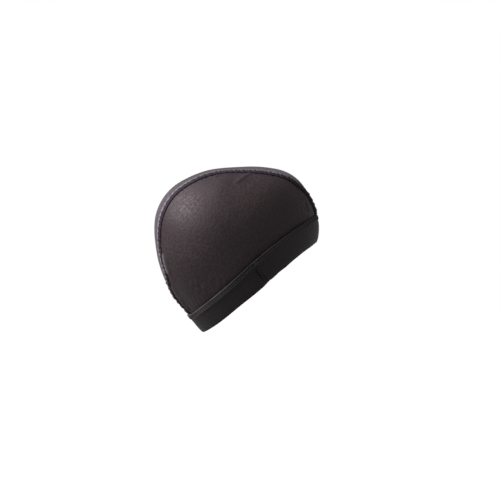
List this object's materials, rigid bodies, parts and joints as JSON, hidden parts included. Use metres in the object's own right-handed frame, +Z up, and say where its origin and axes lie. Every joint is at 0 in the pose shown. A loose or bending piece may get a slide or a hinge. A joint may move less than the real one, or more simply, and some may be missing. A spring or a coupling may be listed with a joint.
{
  "type": "wig cap",
  "caption": "Stretch net dome cap worn under a wig: two side panels, a centre panel, raised crown seams and a wide elastic band lapped at one side.",
  "frame": {"origin": "middle of the band's opening, on the plane of its lower edge at forehead and nape, where the head goes in", "axes": "+X to the forehead, +Y to the left ear, +Z up with the cap pitched back 38 degrees as it is worn in the picture"},
  "size_m": [0.1909, 0.1517, 0.1934],
  "materials": {
    "centre_net": "fine black stretch net, slightly shiny",
    "side_net": "fine black stretch net, slightly shiny",
    "seam_thread": "black textured thread, matt",
    "band_elastic": "black ribbed elastic, matt"
  },
  "bodies": {
    "root": {"crown_center_panel": "centre_net", "side_panel_right": "side_net", "side_panel_left": "side_net", "crown_seam_right": "seam_thread", "crown_seam_left": "seam_thread", "elastic_band": "band_elastic"}
  },
  "joints": []
}
